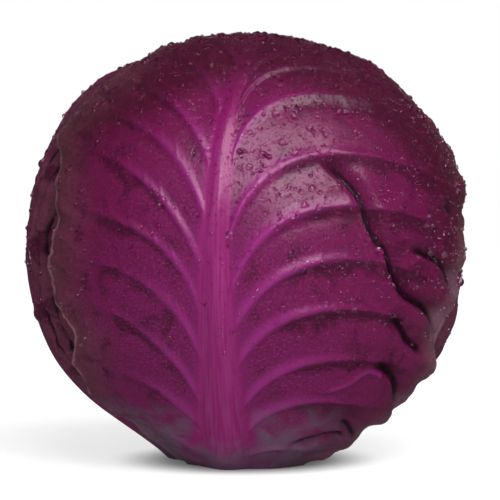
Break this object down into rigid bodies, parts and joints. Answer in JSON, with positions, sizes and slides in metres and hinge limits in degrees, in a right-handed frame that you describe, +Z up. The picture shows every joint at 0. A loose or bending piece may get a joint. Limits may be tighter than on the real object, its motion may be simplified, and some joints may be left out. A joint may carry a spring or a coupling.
{
  "type": "red cabbage head",
  "caption": "Dense round head of dark purple leaves wrapped over one another, with raised ribs and veins, standing on its cut stem",
  "frame": {"origin": "the middle of the stem's cut face, on the ground", "axes": "+Z up along the stem, -Y out through the middle of the outermost leaf, +X to that leaf's right"},
  "size_m": [0.1599, 0.1612, 0.1559],
  "materials": {
    "stem_flesh": "matt, freshly cut",
    "inner_leaf": "satin",
    "outer_leaf": "waxy, half gloss, wet"
  },
  "bodies": {
    "root": {"cut_stem": "stem_flesh", "inner_head": "inner_leaf", "leaf_1_front": "outer_leaf", "leaf_2": "outer_leaf", "leaf_3": "outer_leaf", "leaf_4": "outer_leaf", "leaf_5": "outer_leaf", "leaf_6": "outer_leaf"}
  },
  "joints": []
}
